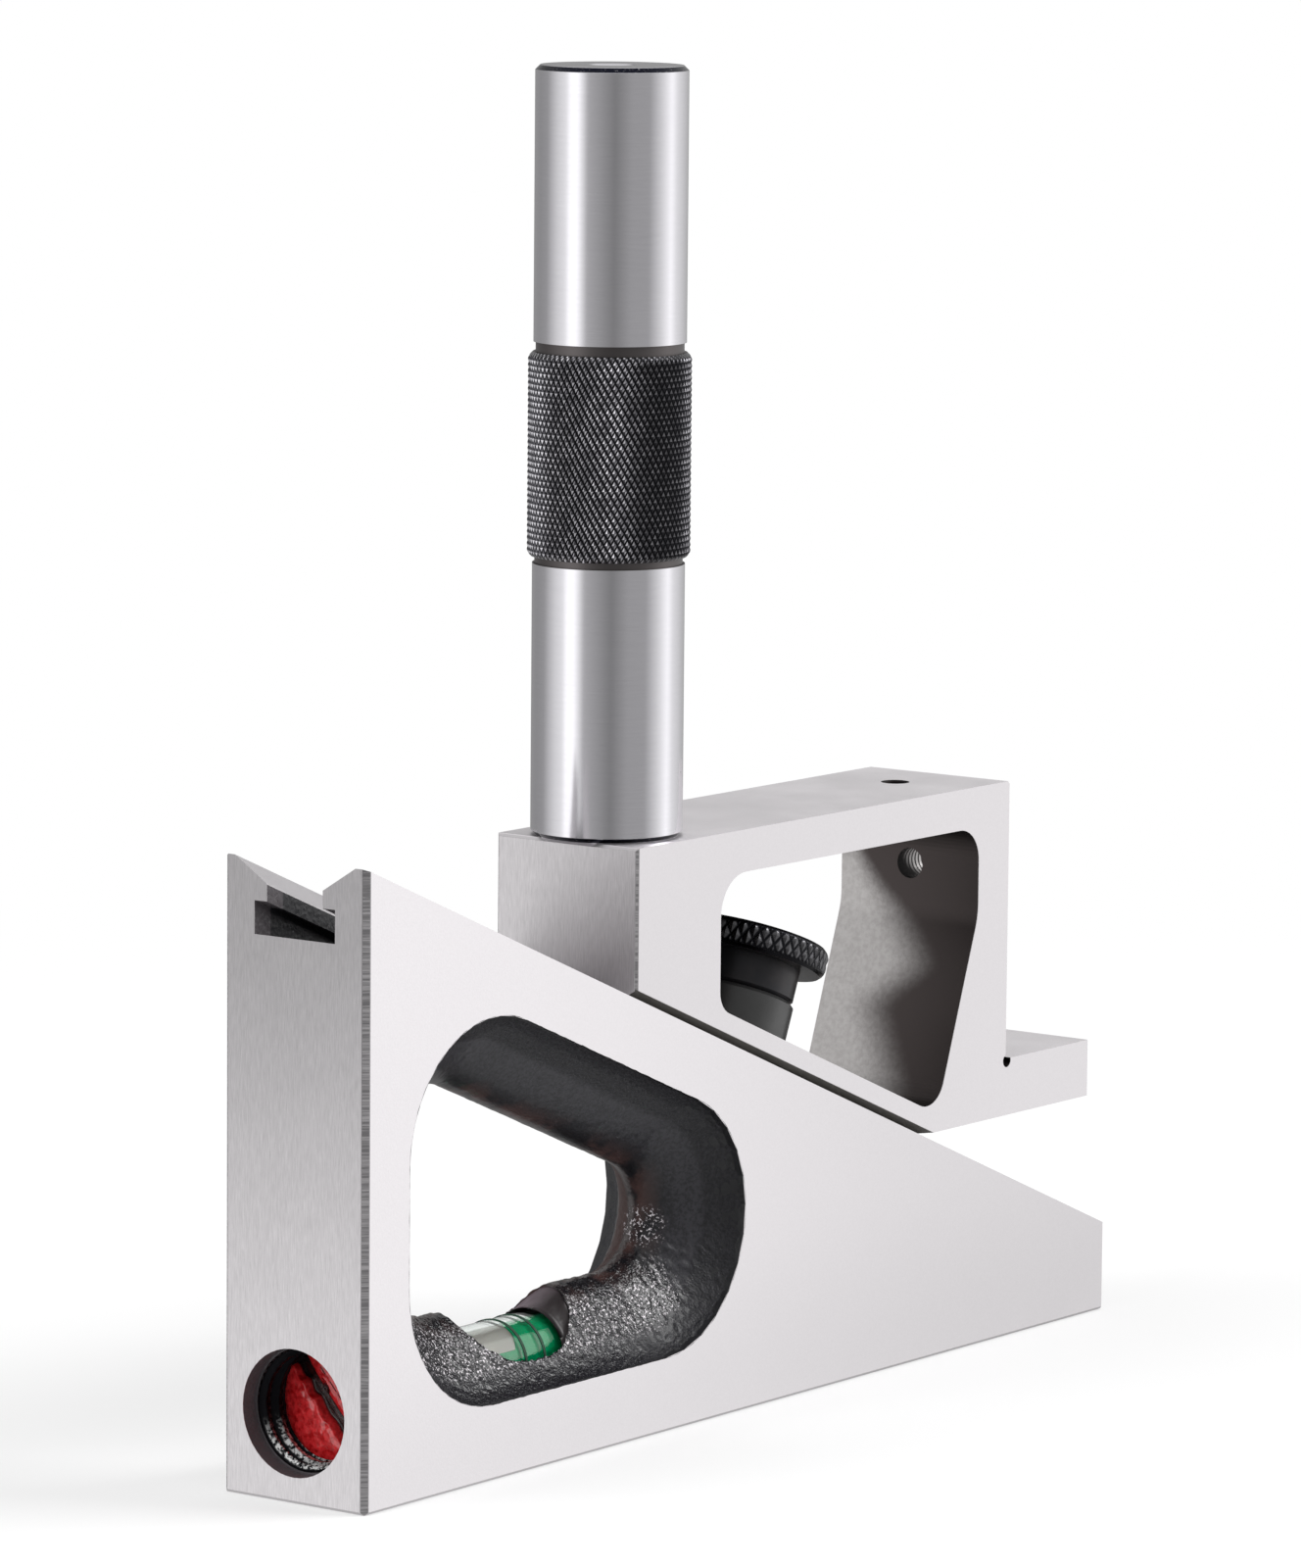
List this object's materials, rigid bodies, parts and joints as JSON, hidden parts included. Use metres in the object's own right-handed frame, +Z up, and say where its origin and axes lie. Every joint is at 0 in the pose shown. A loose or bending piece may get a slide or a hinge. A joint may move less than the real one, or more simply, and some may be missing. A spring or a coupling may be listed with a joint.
{
  "type": "planer gauge",
  "caption": "Wedge-based planer gauge with a slide that climbs a V-way, a knurled clamp knob, a level vial in the base's window and a screwed extension rod.",
  "frame": {"origin": "centre of the base's foot, at the middle of its length and width", "axes": "+X along the base from the tall end to the low end, +Y across the width away from the side the picture shows, +Z up"},
  "size_m": [0.127, 0.0176, 0.1355],
  "materials": {
    "ground_iron": "cast iron, ground bright outside, black enamel in the window",
    "ground_steel": "ground steel",
    "turned_steel": "ground steel with a blackened knurl",
    "oxide_steel": "black oxide",
    "red_lacquer": "glossy red sealing lacquer on steel",
    "rubber": "soft black rubber",
    "glass": "clear glass",
    "spirit": "green level spirit",
    "air": "air",
    "index_ink": "black index rings",
    "putty": "setting putty"
  },
  "bodies": {
    "base": {"base_body": "ground_iron", "plug_screw": "red_lacquer", "vial_cup": "rubber", "vial_tube": "glass", "vial_liquid": "spirit", "vial_bubble": "air", "vial_index_lines": "index_ink", "vial_bed": "putty"},
    "slide": {"slide_body": "ground_steel", "clamp_collar": "oxide_steel"},
    "clamp_bolt": {"clamp_stud": "oxide_steel", "t_nut": "oxide_steel"},
    "knob": {"clamp_knob": "oxide_steel"},
    "rod_screw": {"rod_stud": "oxide_steel"},
    "rod": {"extension_rod": "turned_steel"}
  },
  "joints": [
    {"name": "slide_travel", "type": "slide", "parent": "base", "child": "slide", "axis": [0.9239, 0, -0.3827], "range_m": [-0.046, 0.061]},
    {"name": "knob_turn", "type": "hinge", "parent": "slide", "child": "knob", "pos_m": [0.00853, 0, 0.04299], "axis": [0.3827, 0, 0.9239], "range_deg": [0, 180]},
    {"name": "clamp_drop", "type": "slide", "parent": "slide", "child": "clamp_bolt", "axis": [0.3827, 0, 0.9239], "range_m": [-0.0005, 0]},
    {"name": "rod_lift", "type": "slide", "parent": "slide", "child": "rod_screw", "axis": [0, 0, 1], "range_m": [0, 0.0064]},
    {"name": "rod_turn", "type": "hinge", "parent": "rod_screw", "child": "rod", "pos_m": [-0.0145, 0, 0.08], "axis": [0, 0, 1], "range_deg": [0, 2880]}
  ],
  "couplings": [
    {"joint": "clamp_drop", "follows": "knob_turn", "m_per_rad": -0.00015915},
    {"joint": "rod_turn", "follows": "rod_lift", "rad_per_m": 7854}
  ]
}
